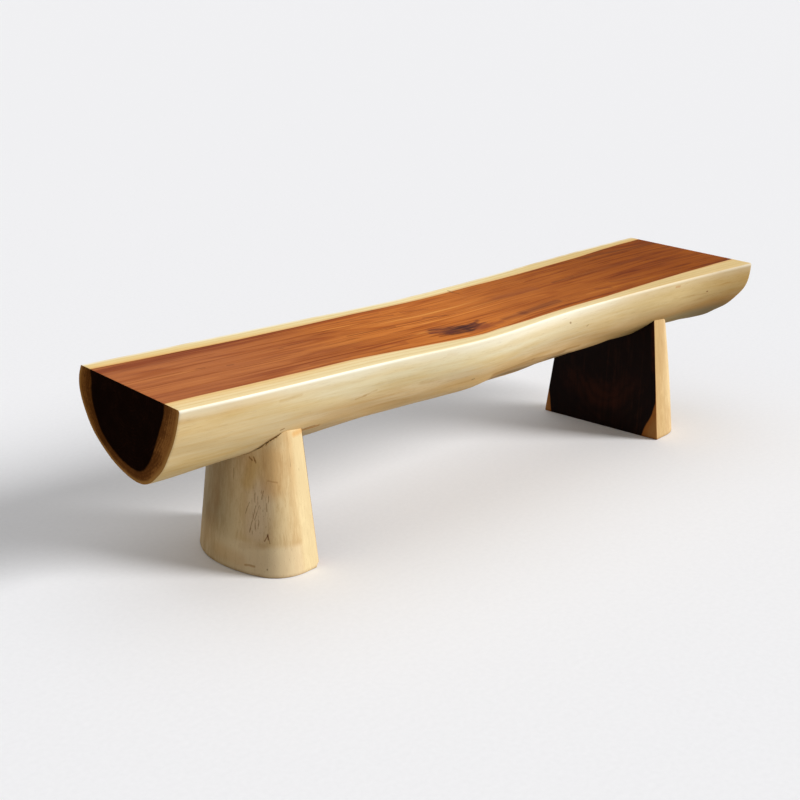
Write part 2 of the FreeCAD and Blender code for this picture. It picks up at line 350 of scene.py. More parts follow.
# The sawn facet beside the inner face: its width, and how far it turns back from the flat
FACET_WIDTH = 0.046
FACET_SET_BACK = {"left": 0.0055, "right": 0.001}

# Joint, growth and wear of the legs, and the side each leg stands on
LEG_ARRIS = 0.0035
JOINT_GAP = 0.0004
OPEN_CORNER = (0.116, -0.162)
OPEN_CORNER_GAP = 0.0055
RIGHT_LEG_SWELLING = {"top": 0.33, "height": 0.005}
CHIP = {"corner": (0.0, -0.1865, 0.0), "reach": (0.010, 0.010, 0.012), "depth": 0.004}
SIGNS = {"left": -1, "right": 1}

# Heartwood on the sawn inner faces of the legs: the eye of the figure, and the edges of the
# heartwood as (height, place across the face)
FACE_EYE = (-0.012, 0.160)
FACE_EYE_STRETCH = 0.9
FACE_FRONT_HEART = [(0.0, -0.141), (0.029, -0.150), (0.070, -0.169), (0.124, -0.181),
                    (0.35, -0.200)]
FACE_BACK_HEART = [(0.0, 0.160), (0.040, 0.167), (0.082, 0.176), (0.35, 0.200)]
LEG_SAP = 0.03


def arc_points(centre, radius, start, end, count):
    """Points on an arc in (out, back), by angles from the outward direction."""
    angles = np.linspace(start, end, count)
    return np.column_stack([centre[0] + radius * np.cos(angles),
                            centre[1] + radius * np.sin(angles)])


def rounded(corner, before, after):
    """A small round over a corner, between points on the lines before and after it."""
    share = np.linspace(0, 1, 6)[:, None]
    return ((1 - share) ** 2 * before + 2 * share * (1 - share) * np.array(corner)
            + share ** 2 * after)


def leg_outline(side, rise, inset):
    """Outline of a leg at one height, in (out, back) from the middle of its inner face's foot:
    from that face's back arris along it to the front, over the front facet and flat, and round
    the back."""
    drawn_in = inset + rise * tan(LEG_LEAN)
    inner = inset + rise * tan(LEG_INNER_LEAN)
    flat = drawn_in - LEG_HALF_WIDTH
    crown_back = -LEG_CROWN_OFFSET
    front_out = LEG_THICKNESS - LEG_FRONT_RADIUS
    rear_out = LEG_THICKNESS - LEG_BACK_RADIUS
    corner_back = LEG_CORNER_RADIUS - LEG_HALF_WIDTH
    gap = LEG_FRONT_RADIUS - LEG_CORNER_RADIUS
    corner_out = front_out + sqrt(gap ** 2 - (corner_back - crown_back) ** 2)
    meet = atan2(corner_back - crown_back, corner_out - front_out)
    rear_radius = LEG_BACK_RADIUS - drawn_in
    rear_angle = acos((inner - rear_out) / rear_radius)
    rear = np.array((inner, crown_back + rear_radius * sin(rear_angle)))
    front = np.array((inner, flat + FACET_SET_BACK[side]))
    facet_end = np.array((inner + FACET_WIDTH, flat))
    short = LEG_ARRIS / rear_radius
    rear_arc = arc_points((rear_out, crown_back), rear_radius, 0, rear_angle - short,
                          LEG_POINTS["rear"])
    across = np.array((0, LEG_ARRIS))
    along = (facet_end - front) * LEG_ARRIS / FACET_WIDTH
    corner = np.array((corner_out, flat))
    return np.concatenate([
        rounded(rear, rear_arc[-1], rear - across)[1:],
        np.linspace(rear - across, front + across, LEG_POINTS["face"])[1:],
        rounded(front, front + across, front + along)[1:],
        np.linspace(front + along, facet_end - along, LEG_POINTS["facet"])[1:],
        rounded(facet_end, facet_end - along, facet_end + (corner - facet_end) / 2)[1:],
        np.linspace(facet_end + (corner - facet_end) / 2, corner, LEG_POINTS["flat"])[1:],
        arc_points((corner_out, corner_back), LEG_CORNER_RADIUS - drawn_in, -pi / 2, meet,
                   LEG_POINTS["corner"])[1:],
        arc_points((front_out, crown_back), LEG_FRONT_RADIUS - drawn_in, meet, 0,
                   LEG_POINTS["front"])[1:],
        rear_arc[1:],
    ])


class LegPlace:
    """Turns a leg's own (out, back) into places in the row frame, read off its tenons."""

    def __init__(self, side):
        self.sign = SIGNS[side]
        ends = [sum(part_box(f"{side}_{end}_tenon"), Vector()) / 2 for end in ("front", "back")]
        middle = (ends[0] + ends[1]) / 2
        self.back = (ends[1] - ends[0]).normalized()
        self.out = Vector((self.back.y, -self.back.x, 0)) * self.sign
        self.foot = Vector((middle.x, middle.y, 0)) - self.out * TENON_SET_BACK

    def row_frame(self, points, rise):
        out, back = np.array(self.out), np.array(self.back)
        places = np.array(self.foot) + points[..., :1] * out + points[..., 1:2] * back
        places[..., 2] = rise
        return places


def scribe_heights(side, place, seat_tree):
    """Height at which each line up the leg's side meets the round of the seat."""
    low, high = 0.05, 0.2
    start = place.row_frame(leg_outline(side, low, 0), low)
    way = place.row_frame(leg_outline(side, high, 0), high) - start
    heights = []
    for point, step in zip(start, way):
        found = seat_tree.ray_cast(Vector(point), Vector(step).normalized())[0]
        heights.append(found.z)
    return np.array(heights)


def joint_gap(outline):
    """How far the leg's top stops short of the seat: a little, and more at the front corner."""
    near = np.hypot(outline[:, 0] - OPEN_CORNER[0], outline[:, 1] - OPEN_CORNER[1])
    ragged = 1 + 0.4 * swell(11, (outline[:, 0], outline[:, 1]), (0.012, 0.012))
    return JOINT_GAP + OPEN_CORNER_GAP * ragged * (1 - fade(near, 0.010, 0.060))


def chipped(place, local):
    """Breaks the foot's inner front corner off, a little unevenly."""
    uneven = swell(8, (local[..., 2], local[..., 0]), (0.006, 0.009))
    near = np.linalg.norm((local - CHIP["corner"]) / CHIP["reach"], axis=-1)
    depth = CHIP["depth"] * (1 - fade(near, 0.35, 1.0)) * (1 + 0.25 * uneven)
    local = local.copy()
    local[..., 0] += 0.5 * depth
    local[..., 1] += depth
    local[..., 2] += 0.8 * depth * (local[..., 2] < 0.02)
    return place.row_frame(local[..., :2], local[..., 2]), local


def make_leg(side, seat_tree, materials):
    place = LegPlace(side)
    base = leg_outline(side, 0, 0)
    tops = scribe_heights(side, place, seat_tree) - joint_gap(base)
    foot_turn = np.linspace(0, pi / 2, 4)
    low_rows = [(LEG_FOOT_ARRIS * (1 - sin(t)), LEG_FOOT_ARRIS * (1 - cos(t))) for t in foot_turn]
    rings, local = [], []

    def add_row(outline, rises):
        rises = np.broadcast_to(rises, len(outline))
        rings.append(place.row_frame(outline, rises))
        local.append(np.column_stack([outline, rises]))

    slope = (leg_outline(side, 0.1, 0) - base) / 0.1
    centre = np.array((TENON_SET_BACK, -LEG_CROWN_OFFSET))
    for scale in np.linspace(0.1, 1, FOOT_RINGS + 1)[:-1]:
        add_row(centre + scale * (leg_outline(side, 0, LEG_FOOT_ARRIS) - centre), 0.0)
    for inset, rise in low_rows:
        add_row(leg_outline(side, rise, inset), rise)
    for share in np.linspace(0, 1, LEG_ROWS)[1:]:
        rises = LEG_FOOT_ARRIS + (tops - LEG_FOOT_ARRIS) * share
        add_row(base + slope * rises[:, None], rises)
    rim = local[-1]
    middle = np.array((TENON_SET_BACK, -LEG_CROWN_OFFSET, 0))
    for scale in np.linspace(1, 0.1, 10)[1:]:
        points = middle + scale * (rim - middle)
        rises = []
        for point in place.row_frame(points[:, :2], 0.1):
            rises.append(seat_tree.ray_cast(Vector(point), Vector((0, 0, 1)))[0].z - JOINT_GAP)
        points[:, 2] = rises
        rings.append(place.row_frame(points[:, :2], points[:, 2]))
        local.append(points)
    rings, local = np.array(rings), np.array(local)
    if side == "left":
        rings, local = chipped(place, local)
    else:
        belly = np.sin(pi * np.clip(local[..., 2] / RIGHT_LEG_SWELLING["top"], 0, 1))
        outer = fade(local[..., 0], 0.02, 0.10) * RIGHT_LEG_SWELLING["height"] * belly
        local[..., 0] += outer
        rings = place.row_frame(local[..., :2], local[..., 2])
    if place.sign < 0:
        rings, local = rings[:, ::-1], local[:, ::-1]

    out, back, rise = local[..., 0], local[..., 1], local[..., 2]
    inner = rise * tan(LEG_INNER_LEAN)
    on_face = 1 - fade(out - inner, 0.0005, 0.003)
    eye = np.hypot(back - FACE_EYE[0], (rise - FACE_EYE[1]) * FACE_EYE_STRETCH)
    bark_ring = np.hypot(out + 0.03, back)
    front_limit = np.interp(rise, *zip(*FACE_FRONT_HEART))
    back_limit = np.interp(rise, *zip(*FACE_BACK_HEART))
    sap = np.maximum(front_limit - back, back - back_limit)
    attributes = {
        "log_place": np.stack([rise, out, back], -1),
        "ring": on_face * eye + (1 - on_face) * bark_ring,
        "sap_edge": on_face * sap + (1 - on_face) * LEG_SAP,
    }
    leg, _ = tube(f"{side}_leg_wood", rings, attributes, materials, FOOT_RINGS, 0)
    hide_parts(f"{side}_leg")


# Materials

def paint(red, green, blue):
    """A colour as an eye sees it on a screen, 0 to 255, turned into linear light."""
    return tuple((c / 255 / 12.92) if c <= 10 else ((c / 255 + 0.055) / 1.055) ** 2.4
                 for c in (red, green, blue)) + (1.0,)


class Graph:
    """Short calls that build one material's nodes."""

    def __init__(self, tree):
        self.tree = tree
        self.tree.nodes.clear()

    @classmethod
    def material(cls, name):
        material = bpy.data.materials.new(name)
        material.use_nodes = True
        return material, cls(material.node_tree)

    def node(self, kind, inputs, **settings):
        node = self.tree.nodes.new(kind)
        for key, value in settings.items():
            setattr(node, key, value)
        for key, value in inputs.items():
            if isinstance(value, bpy.types.NodeSocket):
                self.tree.links.new(value, node.inputs[key])
            else:
                node.inputs[key].default_value = value
        return node

    def math(self, operation, *values, clamp=False):
        node = self.node("ShaderNodeMath", dict(enumerate(values)), operation=operation,
                         use_clamp=clamp)
        return node.outputs[0]

    def vector(self, operation, *values, output="Vector"):
        return self.node("ShaderNodeVectorMath", dict(enumerate(values)),
                         operation=operation).outputs[output]

    def row_place(self):
        return self.node("ShaderNodeTexCoord", {}).outputs["Object"]

    def wave(self, value, spacing):
        return self.math("SINE", self.math("MULTIPLY", value, 2 * pi / spacing))

    def attribute(self, name, output="Fac"):
        return self.node("ShaderNodeAttribute", {}, attribute_name=name).outputs[output]

    def noise(self, vector, scales, detail=3.0, roughness=0.55, distortion=0.0):
        node = self.node("ShaderNodeTexNoise", {
            "Vector": self.vector("MULTIPLY", vector, scales), "Scale": 1.0, "Detail": detail,
            "Roughness": roughness, "Distortion": distortion})
        return node.outputs["Fac"]

    def fade(self, value, low, high, to_low=0.0, to_high=1.0):
        node = self.node("ShaderNodeMapRange", {
            "Value": value, "From Min": low, "From Max": high, "To Min": to_low,
            "To Max": to_high}, interpolation_type="SMOOTHSTEP")
        return node.outputs["Result"]

    def ramp(self, value, stops):
        node = self.node("ShaderNodeValToRGB", {"Fac": value})
        node.color_ramp.interpolation = "EASE"
        for place, colour in stops[2:]:
            node.color_ramp.elements.new(place)
        for element, (place, colour) in zip(node.color_ramp.elements, sorted(stops)):
            element.position = place
            element.color = colour
        return node.outputs["Color"]

    def mix(self, share, first, second, mode="MIX"):
        node = self.node("ShaderNodeMix", {"Factor": share, "A": first, "B": second},
                         data_type="RGBA", blend_type=mode)
        return node.outputs["Result"]

    def part(self, vector, index):
        return self.node("ShaderNodeSeparateXYZ", {0: vector}).outputs[index]

    def warped(self, vector, scale, amount):
        """Moves places about by a noise, by up to half the amount."""
        noise = self.node("ShaderNodeTexNoise", {"Vector": vector, "Scale": scale, "Detail": 2.0})
        offset = self.vector("SUBTRACT", noise.outputs["Color"], (0.5,) * 3)
        return self.vector("ADD", vector, self.vector("MULTIPLY", offset, (amount,) * 3))

    def layered(self, place, layers, middle=0.5):
        """Noises of several scales added up: each layer is its scales, detail and weight."""
        total = middle - sum(weight for _, _, weight in layers) / 2
        for scales, detail, weight in layers:
            total = self.math("MULTIPLY_ADD", self.noise(place, scales, detail), weight, total)
        return total

    def times(self, *shares):
        total = shares[0]
        for share in shares[1:]:
            total = self.math("MULTIPLY", total, share)
        return total

    def tint(self, share, colour, tint):
        return self.mix(share, colour, paint(*tint), "MULTIPLY")

    def stroke(self, place, start, end, width):
        """1 on a line between two points of the log, 0 at its width and beyond."""
        start, end = Vector(start), Vector(end)
        way = end - start
        offset = self.vector("SUBTRACT", place, start)
        along = self.vector("DOT_PRODUCT", offset, way / way.length_squared, output="Value")
        along = self.math("ADD", along, 0.0, clamp=True)
        nearest = self.node("ShaderNodeVectorMath", {0: tuple(way), "Scale": along},
                            operation="SCALE").outputs[0]
        apart = self.vector("DISTANCE", offset, nearest, output="Value")
        return self.fade(apart, 0.15 * width, width, 1.0, 0.0)

    def seen_plainly(self):
        """1 for what the camera sees, straight or in gloss or glass, and 0 for light."""
        path = self.node("ShaderNodeLightPath", {})
        seen = self.math("MAXIMUM", path.outputs["Is Camera Ray"], path.outputs["Is Glossy Ray"])
        return self.math("MAXIMUM", seen, path.outputs["Is Transmission Ray"])


# Colours as (place on the tone scale, colour)
SEAT_HEART = [(0.30, paint(120, 58, 22)), (0.42, paint(158, 82, 33)), (0.50, paint(181, 102, 42)),
              (0.58, paint(196, 116, 50)), (0.70, paint(216, 142, 70))]
SEAT_SAP = [(0.32, paint(226, 204, 158)), (0.45, paint(242, 226, 184)),
            (0.55, paint(248, 234, 197)), (0.68, paint(253, 243, 211))]
LEG_HEART = [(0.3, paint(15, 8, 5)), (0.5, paint(22, 11, 8)), (0.7, paint(50, 26, 16))]
LEG_SAPWOOD = [(0.32, paint(190, 154, 104)), (0.45, paint(214, 182, 132)),
               (0.56, paint(230, 203, 154)), (0.70, paint(242, 221, 175))]
END_HEART = [(0.3, paint(16, 8, 5)), (0.5, paint(24, 12, 7)), (0.7, paint(46, 24, 13))]
END_SAP = [(0.3, paint(80, 44, 18)), (0.5, paint(106, 62, 27)), (0.7, paint(156, 102, 50))]

# Distance from ring to ring, and the bands of the figure in its noise
SEAT_RING_SPACING = 0.017
END_RING_SPACING = 0.0075
LEG_RING_SPACING = 0.034
FIGURE_BANDS = 11

# Noise layers: scales along and across the fibres, detail, weight
HEART_LAYERS = [((0.7, 16, 16), 4, 0.30), ((1.4, 46, 46), 4, 0.30), ((3.2, 120, 120), 5, 0.30),
                ((14, 420, 420), 3, 0.16), ((6, 20, 20), 2, 0.14)]
SAP_LAYERS = [((1.6, 9, 9), 2, 0.30), ((5, 40, 40), 3, 0.14), ((14, 170, 170), 4, 0.20),
              ((40, 600, 600), 2, 0.14)]
LEG_LAYERS = [((3, 9, 9), 2, 0.36), ((7, 60, 60), 4, 0.20), ((14, 260, 260), 4, 0.20),
              ((50, 800, 800), 2, 0.10)]
END_LAYERS = [((1, 30, 30), 3, 0.35), ((1, 240, 240), 4, 0.30), ((1, 900, 900), 2, 0.20)]


def log_place(g, seed):
    return g.vector("ADD", g.attribute("log_place", "Vector"), (seed, seed, seed))


def finish_wood(g, material, colour, relief, roughness, gloss):
    """Satin finish: the gloss breaks up with the grain, which also stands a little proud."""
    bump = g.node("ShaderNodeBump", {"Height": relief, "Strength": 0.3, "Distance": 0.0006})
    rough = g.math("MULTIPLY_ADD", relief, -0.12, roughness)
    shader = g.node("ShaderNodeBsdfPrincipled", {
        "Base Color": colour, "Roughness": rough, "Normal": bump.outputs["Normal"],
        "Specular IOR Level": gloss})
    g.node("ShaderNodeOutputMaterial", {"Surface": shader.outputs[0]})
    return material


def sap_share(g, place, edge, width):
    """0 in the heartwood and 1 in the sapwood, with a slightly ragged line between."""
    ragged = g.math("MULTIPLY_ADD", g.noise(place, (5, 60, 60), 3), 0.006, -0.003)
    return g.fade(g.math("ADD", edge, ragged), -width / 2, width)


def seat_wood():
    material, g = Graph.material("seat_timber")
    place = log_place(g, 0.0)
    edge = g.attribute("sap_edge")
    along, across, deep = (g.part(place, index) for index in range(3))
    height = g.part(g.row_place(), 2)
    on_top = g.fade(height, SEAT_TOP - 0.001, SEAT_TOP)
    on_side = g.math("SUBTRACT", 1.0, on_top)

    fibres = g.warped(g.warped(place, 2.5, 0.014), 9, 0.006)
    tone = g.layered(fibres, HEART_LAYERS)
    heart = g.ramp(tone, SEAT_HEART)
    # Towards the left end the heartwood is mixed towards a hazy pink: a painted sheen.
    heart = g.mix(g.times(g.fade(along, -0.25, -0.75), 0.42), heart, paint(180, 114, 80))
    warm = g.times(g.fade(along, -0.50, -0.22), g.fade(along, 0.22, -0.08))
    heart = g.mix(g.times(warm, 0.45), heart, paint(222, 132, 56))
    figure = g.math("SINE", g.math("MULTIPLY", g.noise(place, (0.9, 8, 8), 1), 2 * pi * FIGURE_BANDS))
    figure = g.times(g.fade(figure, 0.1, 1.0), g.fade(g.noise(place, (2, 14, 14), 2), 0.42, 0.58))
    heart = g.tint(g.times(figure, 0.45), heart, (206, 168, 146))
    calm = g.fade(along, -0.95, -0.45, 0.35, 0.65)
    lines = g.fade(g.noise(fibres, (1.1, 85, 85), 3), 0.56, 0.66)
    heart = g.tint(g.times(lines, calm), heart, (188, 150, 124))
    hair_lines = g.fade(g.noise(fibres, (3.0, 210, 210), 2), 0.60, 0.69)
    heart = g.tint(g.times(hair_lines, calm), heart, (150, 108, 84))
    gleams = g.fade(g.noise(fibres, (2.2, 120, 120), 2), 0.40, 0.30)
    heart = g.mix(g.times(gleams, warm, 0.5), heart, paint(246, 170, 84))
    band = g.times(g.fade(across, 0.098, 0.125), g.fade(along, 0.15, -0.35))
    band = g.times(band, g.fade(g.noise(fibres, (1.2, 45, 45), 3), 0.38, 0.52))
    heart = g.tint(g.times(band, 0.85), heart, (192, 158, 162))
    # Darker and more golden towards the right end: partly the heartwood's own tone, partly painted
    # shade.
    heart = g.tint(g.fade(along, 0.0, 0.82), heart, (202, 184, 92))
    rim = g.times(g.fade(edge, -0.007, -0.0015), g.fade(across, 0.0, 0.05, 0.25, 0.8))
    heart = g.tint(rim, heart, (208, 176, 140))
    heart = streaks(g, heart, fibres, GRAIN_STREAKS, 1.2)
    heart = streaks(g, heart, place, KNOT_STREAKS, 3.0)

    sap = g.ramp(g.layered(place, SAP_LAYERS), SEAT_SAP)
    sap = g.tint(g.times(g.fade(along, -0.45, -0.85), g.fade(on_top, 0.0, 1.0, 1.0, 0.35)), sap,
                 (248, 233, 208))
    # Towards the right end the sapwood darkens, on the sides most and again near the end: painted
    # shade.
    sap = g.tint(g.times(g.fade(along, 0.02, 0.62), g.fade(on_top, 0.0, 1.0, 1.0, 0.7)), sap,
                 (226, 211, 184))
    sap = g.tint(g.times(g.fade(along, 0.60, 0.90), on_side), sap, (212, 203, 188))
    sap = g.tint(g.times(g.fade(deep, 0.04, 0.13), g.fade(along, -0.75, -0.45)), sap,
                 (253, 232, 208))
    grey_clouds = g.fade(g.noise(place, (3, 13, 13), 3), 0.44, 0.64)
    sap = g.tint(g.times(grey_clouds, on_side, 0.4), sap, (236, 228, 214))
    gold_clouds = g.fade(g.noise(log_place(g, 5.1), (4, 17, 17), 3), 0.46, 0.64)
    sap = g.tint(g.times(gold_clouds, on_side, 0.5), sap, (251, 238, 206))
    bent = g.warped(place, 60, 0.004)
    dashes = g.fade(g.noise(bent, (6, 90, 90), 4), 0.54, 0.70)
    dashes = g.times(dashes, g.fade(g.noise(place, (4, 10, 10), 2), 0.45, 0.62))
    sap = g.tint(g.times(dashes, on_side, 0.55), sap, (228, 208, 174))
    streaked = g.fade(g.noise(place, (2.4, 60, 60), 3), 0.45, 0.62)
    sap = g.tint(g.times(streaked, on_side, 0.35), sap, (246, 234, 210))
    rings = g.math("MULTIPLY_ADD", g.noise(place, (0.8, 20, 20), 2), 0.020, g.attribute("ring"))
    rings = g.wave(rings, SEAT_RING_SPACING)
    rings = g.times(g.fade(rings, 0.0, 1.0), g.noise(place, (1.5, 40, 40), 2))
    sap = g.tint(g.times(rings, on_top, 0.5), sap, (230, 202, 156))
    shine = g.times(g.fade(height, SEAT_TOP - 0.034, SEAT_TOP - 0.008),
                    g.fade(along, -0.45, -0.20, 0.7, 1.0), g.fade(along, 0.60, 0.20, 0.25, 1.0),
                    g.fade(across, 0.05, -0.05), on_side)
    sap = g.mix(g.times(shine, 0.55), sap, paint(255, 250, 230))
    # Cooler and darker low on the belly towards the right end: painted shade.
    painted_low_right_shade = g.times(g.fade(deep, 0.085, 0.150), g.fade(along, 0.35, 0.75))
    sap = g.tint(painted_low_right_shade, sap, (192, 216, 236))
    # A creamy line along the front arris, strongest at the left end: a painted highlight.
    painted_arris_highlight = g.times(g.fade(height, SEAT_TOP - 0.010, SEAT_TOP - 0.003),
                   g.fade(height, SEAT_TOP, SEAT_TOP - 0.0012))
    painted_arris_highlight = g.times(painted_arris_highlight, g.fade(g.noise(place, (6, 1, 1), 3), 0.30, 0.60, 0.55, 1.0))
    sap = g.mix(g.times(painted_arris_highlight, g.fade(along, -0.55, -0.20, 1.0, 0.35)), sap, paint(255, 252, 234))
    edge_wander = g.math("MULTIPLY_ADD", g.noise(place, (2, 70, 70), 2), 0.008, edge)
    reach = g.fade(across, -0.05, 0.05, 0.012, 0.018)
    amber = g.fade(g.math("DIVIDE", edge_wander, reach), 1.0, 0.2)
    sap = g.mix(g.times(amber, 0.65), sap, paint(220, 160, 92))
    golden = g.times(g.fade(edge_wander, 0.045, 0.012), g.fade(along, -0.25, -0.6))
    sap = g.tint(g.times(golden, 0.6), sap, (250, 230, 200))
    for spot in SEAT_MARKS_AND_SHADE:
        stroke = g.stroke(bent, *spot["from_to"], spot["width"])
        sap = g.tint(g.times(stroke, spot["strength"]), sap, spot["tint"])
    back_band = g.times(g.fade(across, 0.10, 0.14), on_top)
    sap = g.tint(back_band, sap, (255, 249, 228))
    sap = g.tint(g.times(g.fade(across, -0.10, -0.14), on_top), sap, (255, 249, 234))
    # A pale broken line along the back arris of the top: a painted highlight.
    painted_back_arris_highlight = g.times(g.fade(across, 0.183, 0.194), g.fade(g.noise(place, (5, 1, 1), 3), 0.3, 0.6))
    sap = g.mix(g.times(painted_back_arris_highlight, on_top, 0.8), sap, paint(255, 252, 236))
    colour = g.mix(sap_share(g, place, edge, 0.0022), heart, sap)
    colour = streaks(g, colour, place, NOTCH_STREAKS, 0.8)

    pores = g.fade(g.noise(place, (30, 900, 900), 2), 0.64, 0.72)
    colour = g.tint(g.times(pores, 0.3), colour, (150, 104, 72))
    relief = g.layered(place, [((14, 420, 420), 3, 0.6), ((40, 900, 900), 2, 0.4)])
    return finish_wood(g, material, colour, relief, 0.60, 0.015)


def end_wood():
    """Sawn across the fibres: rings round the pith, dark heartwood and pores."""
    material, g = Graph.material("end_grain_timber")
    place = log_place(g, 1.3)
    from_pith = g.attribute("ring")
    ring = g.math("MULTIPLY_ADD", g.noise(place, (1, 14, 14), 2), 0.014, from_pith)
    rings = g.wave(ring, END_RING_SPACING)
    tone = g.math("MULTIPLY_ADD", rings, 0.03, g.layered(place, END_LAYERS))
    edge = g.math("MULTIPLY_ADD", g.noise(place, (1, 60, 60), 3), 0.005, g.attribute("sap_edge"))
    outer = g.fade(edge, 0.010, 0.046, 0.0, 0.20)
    sap = g.ramp(g.math("ADD", tone, outer), END_SAP)
    sap = g.tint(g.fade(g.part(place, 1), 1.33, 1.45), sap, (226, 222, 208))
    # A golden line round the outer edge of the sawn ends: a painted highlight.
    rim = g.fade(from_pith, 0.188, 0.197)
    sap = g.mix(g.times(rim, 0.65), sap, paint(196, 144, 78))
    colour = g.mix(g.fade(edge, 0.000, 0.007), g.ramp(tone, END_HEART), sap)
    pores = g.fade(g.noise(place, (1, 1300, 1300), 2), 0.62, 0.70)
    colour = g.tint(g.times(pores, 0.4), colour, (130, 96, 70))
    return finish_wood(g, material, colour, tone, 0.75, 0.0)


def leg_wood():
    material, g = Graph.material("leg_timber")
    place = log_place(g, 0.0)
    grain = log_place(g, 3.7)
    edge = g.attribute("sap_edge")
    rise, out, back = (g.part(place, index) for index in range(3))
    on_left = g.fade(g.part(g.row_place(), 0), 0.1, -0.1)
    inner_face = g.fade(g.math("MULTIPLY_ADD", rise, -tan(LEG_INNER_LEAN), out), 0.003, 0.001)

    ring = g.math("MULTIPLY_ADD", g.noise(grain, (8, 8, 8), 3), 0.16, g.attribute("ring"))
    rings = g.wave(ring, LEG_RING_SPACING)
    tone = g.math("MULTIPLY_ADD", rings, 0.022, g.layered(grain, HEART_LAYERS))
    heart = g.ramp(tone, LEG_HEART)
    for glow in LEG_GLOWS:
        stroke = g.stroke(place, *glow["from_to"], glow["width"])
        stroke = g.times(stroke, g.fade(rings, -4.0, 1.0), g.fade(tone, 0.28, 0.60))
        heart = g.mix(g.times(stroke, glow["strength"]), heart, paint(*glow["tint"]))

    sap = g.ramp(g.layered(grain, LEG_LAYERS), LEG_SAPWOOD)
    facet = g.times(g.fade(out, 0.060, 0.034), g.fade(back, -0.10, -0.13))
    sap = g.mix(g.times(facet, on_left, 0.42), sap, paint(246, 230, 182))
    right_facet = g.times(facet, g.math("SUBTRACT", 1.0, on_left))
    sap = g.tint(g.times(right_facet, 0.8), sap, (238, 228, 212))
    blush = g.fade(g.noise(grain, (5, 12, 12), 3), 0.48, 0.64)
    sap = g.tint(g.times(blush, g.fade(facet, 1.0, 0.0), 0.35), sap, (228, 204, 178))
    shade = g.times(g.fade(back, -0.10, -0.01), g.fade(rise, 0.03, 0.12), on_left)
    sap = g.tint(g.times(shade, 0.8), sap, (192, 192, 192))
    foot = g.times(g.fade(rise, 0.080, 0.062), g.fade(back, -0.03, -0.11, 0.1, 1.0), on_left)
    sap = g.mix(g.times(foot, g.fade(facet, 1.0, 0.0), 0.5), sap, paint(246, 226, 186))
    amber = g.fade(edge, 0.026, 0.004)
    sap = g.mix(g.times(amber, 0.6), sap, paint(192, 130, 66))
    sap = g.tint(g.times(inner_face, 0.85), sap, (214, 168, 112))
    bent = g.warped(place, 60, 0.004)
    patch = g.times(g.stroke(place, *CRACKED_PATCH, CRACKED_PATCH_WIDTH), on_left)
    sap = g.mix(g.times(patch, 0.5), sap, paint(230, 206, 174))
    hairs = g.fade(g.noise(bent, (13, 330, 330), 2), 0.60, 0.70)
    sap = g.tint(g.times(hairs, patch, 0.8), sap, (176, 148, 122))
    for spot in LEG_MARKS:
        stroke = g.stroke(bent, *spot["from_to"], spot["width"])
        sap = g.tint(g.times(stroke, on_left, spot["strength"]), sap, spot["tint"])
    # Darker, unevenly, in the last centimetre above the floor.
    darker_near_floor = g.times(g.fade(rise, 0.010, 0.0), g.noise(grain, (40, 40, 40), 3))
    sap = g.tint(g.times(darker_near_floor, 0.8), sap, (176, 140, 100))
    colour = g.mix(sap_share(g, grain, edge, 0.003), heart, sap)

    pores = g.fade(g.noise(grain, (40, 900, 900), 2), 0.64, 0.72)
    colour = g.tint(g.times(pores, 0.3), colour, (150, 112, 80))
    relief = g.layered(grain, [((14, 260, 260), 4, 0.6), ((50, 800, 800), 2, 0.4)])
    return finish_wood(g, material, colour, relief, 0.52, 0.04)


def tenon_wood():
    material, g = Graph.material("tenon_timber")
    upright = g.layered(g.row_place(), [((60, 60, 3), 3, 0.5), ((300, 300, 12), 3, 0.4)])
    colour = g.ramp(upright, LEG_SAPWOOD)
    return finish_wood(g, material, colour, upright, 0.6, 0.04)


# Streaks on the top in the row frame: from, to, half width, strength and colour. First the
# knot and the notch of a small one behind it, then streaks of the grain. Most ends were picked in
# the photograph, and another program worked out their places.
KNOT_STREAKS = [
    ((-0.178, -0.110), (-0.078, -0.150), 0.044, 0.60, (130, 64, 40)),
    ((-0.132, -0.174), (-0.054, -0.174), 0.015, 0.50, (140, 66, 38)),
    ((-0.093, -0.162), (-0.014, -0.158), 0.018, 0.50, (136, 66, 40)),
    ((-0.164, -0.142), (-0.118, -0.142), 0.038, 0.95, (54, 30, 28)),
    ((-0.152, -0.158), (-0.118, -0.160), 0.018, 0.80, (70, 38, 30)),
    ((-0.138, -0.116), (-0.106, -0.126), 0.018, 0.80, (76, 42, 32)),
    ((-0.120, -0.146), (-0.076, -0.132), 0.026, 0.90, (60, 29, 30)),
    ((-0.188, -0.099), (-0.140, -0.122), 0.012, 0.75, (100, 50, 36)),
    ((-0.203, -0.119), (-0.155, -0.138), 0.014, 0.80, (100, 46, 38)),
    ((-0.190, -0.139), (-0.150, -0.155), 0.010, 0.65, (112, 54, 38)),
    ((-0.086, -0.130), (-0.048, -0.115), 0.009, 0.75, (96, 46, 36)),
    ((-0.090, -0.142), (-0.050, -0.137), 0.009, 0.60, (104, 50, 36)),
]
NOTCH_STREAKS = [
    ((0.088, 0.134), (0.083, 0.110), 0.005, 0.75, (124, 78, 38)),
    ((0.083, 0.112), (0.090, 0.097), 0.005, 0.75, (92, 50, 26)),
]
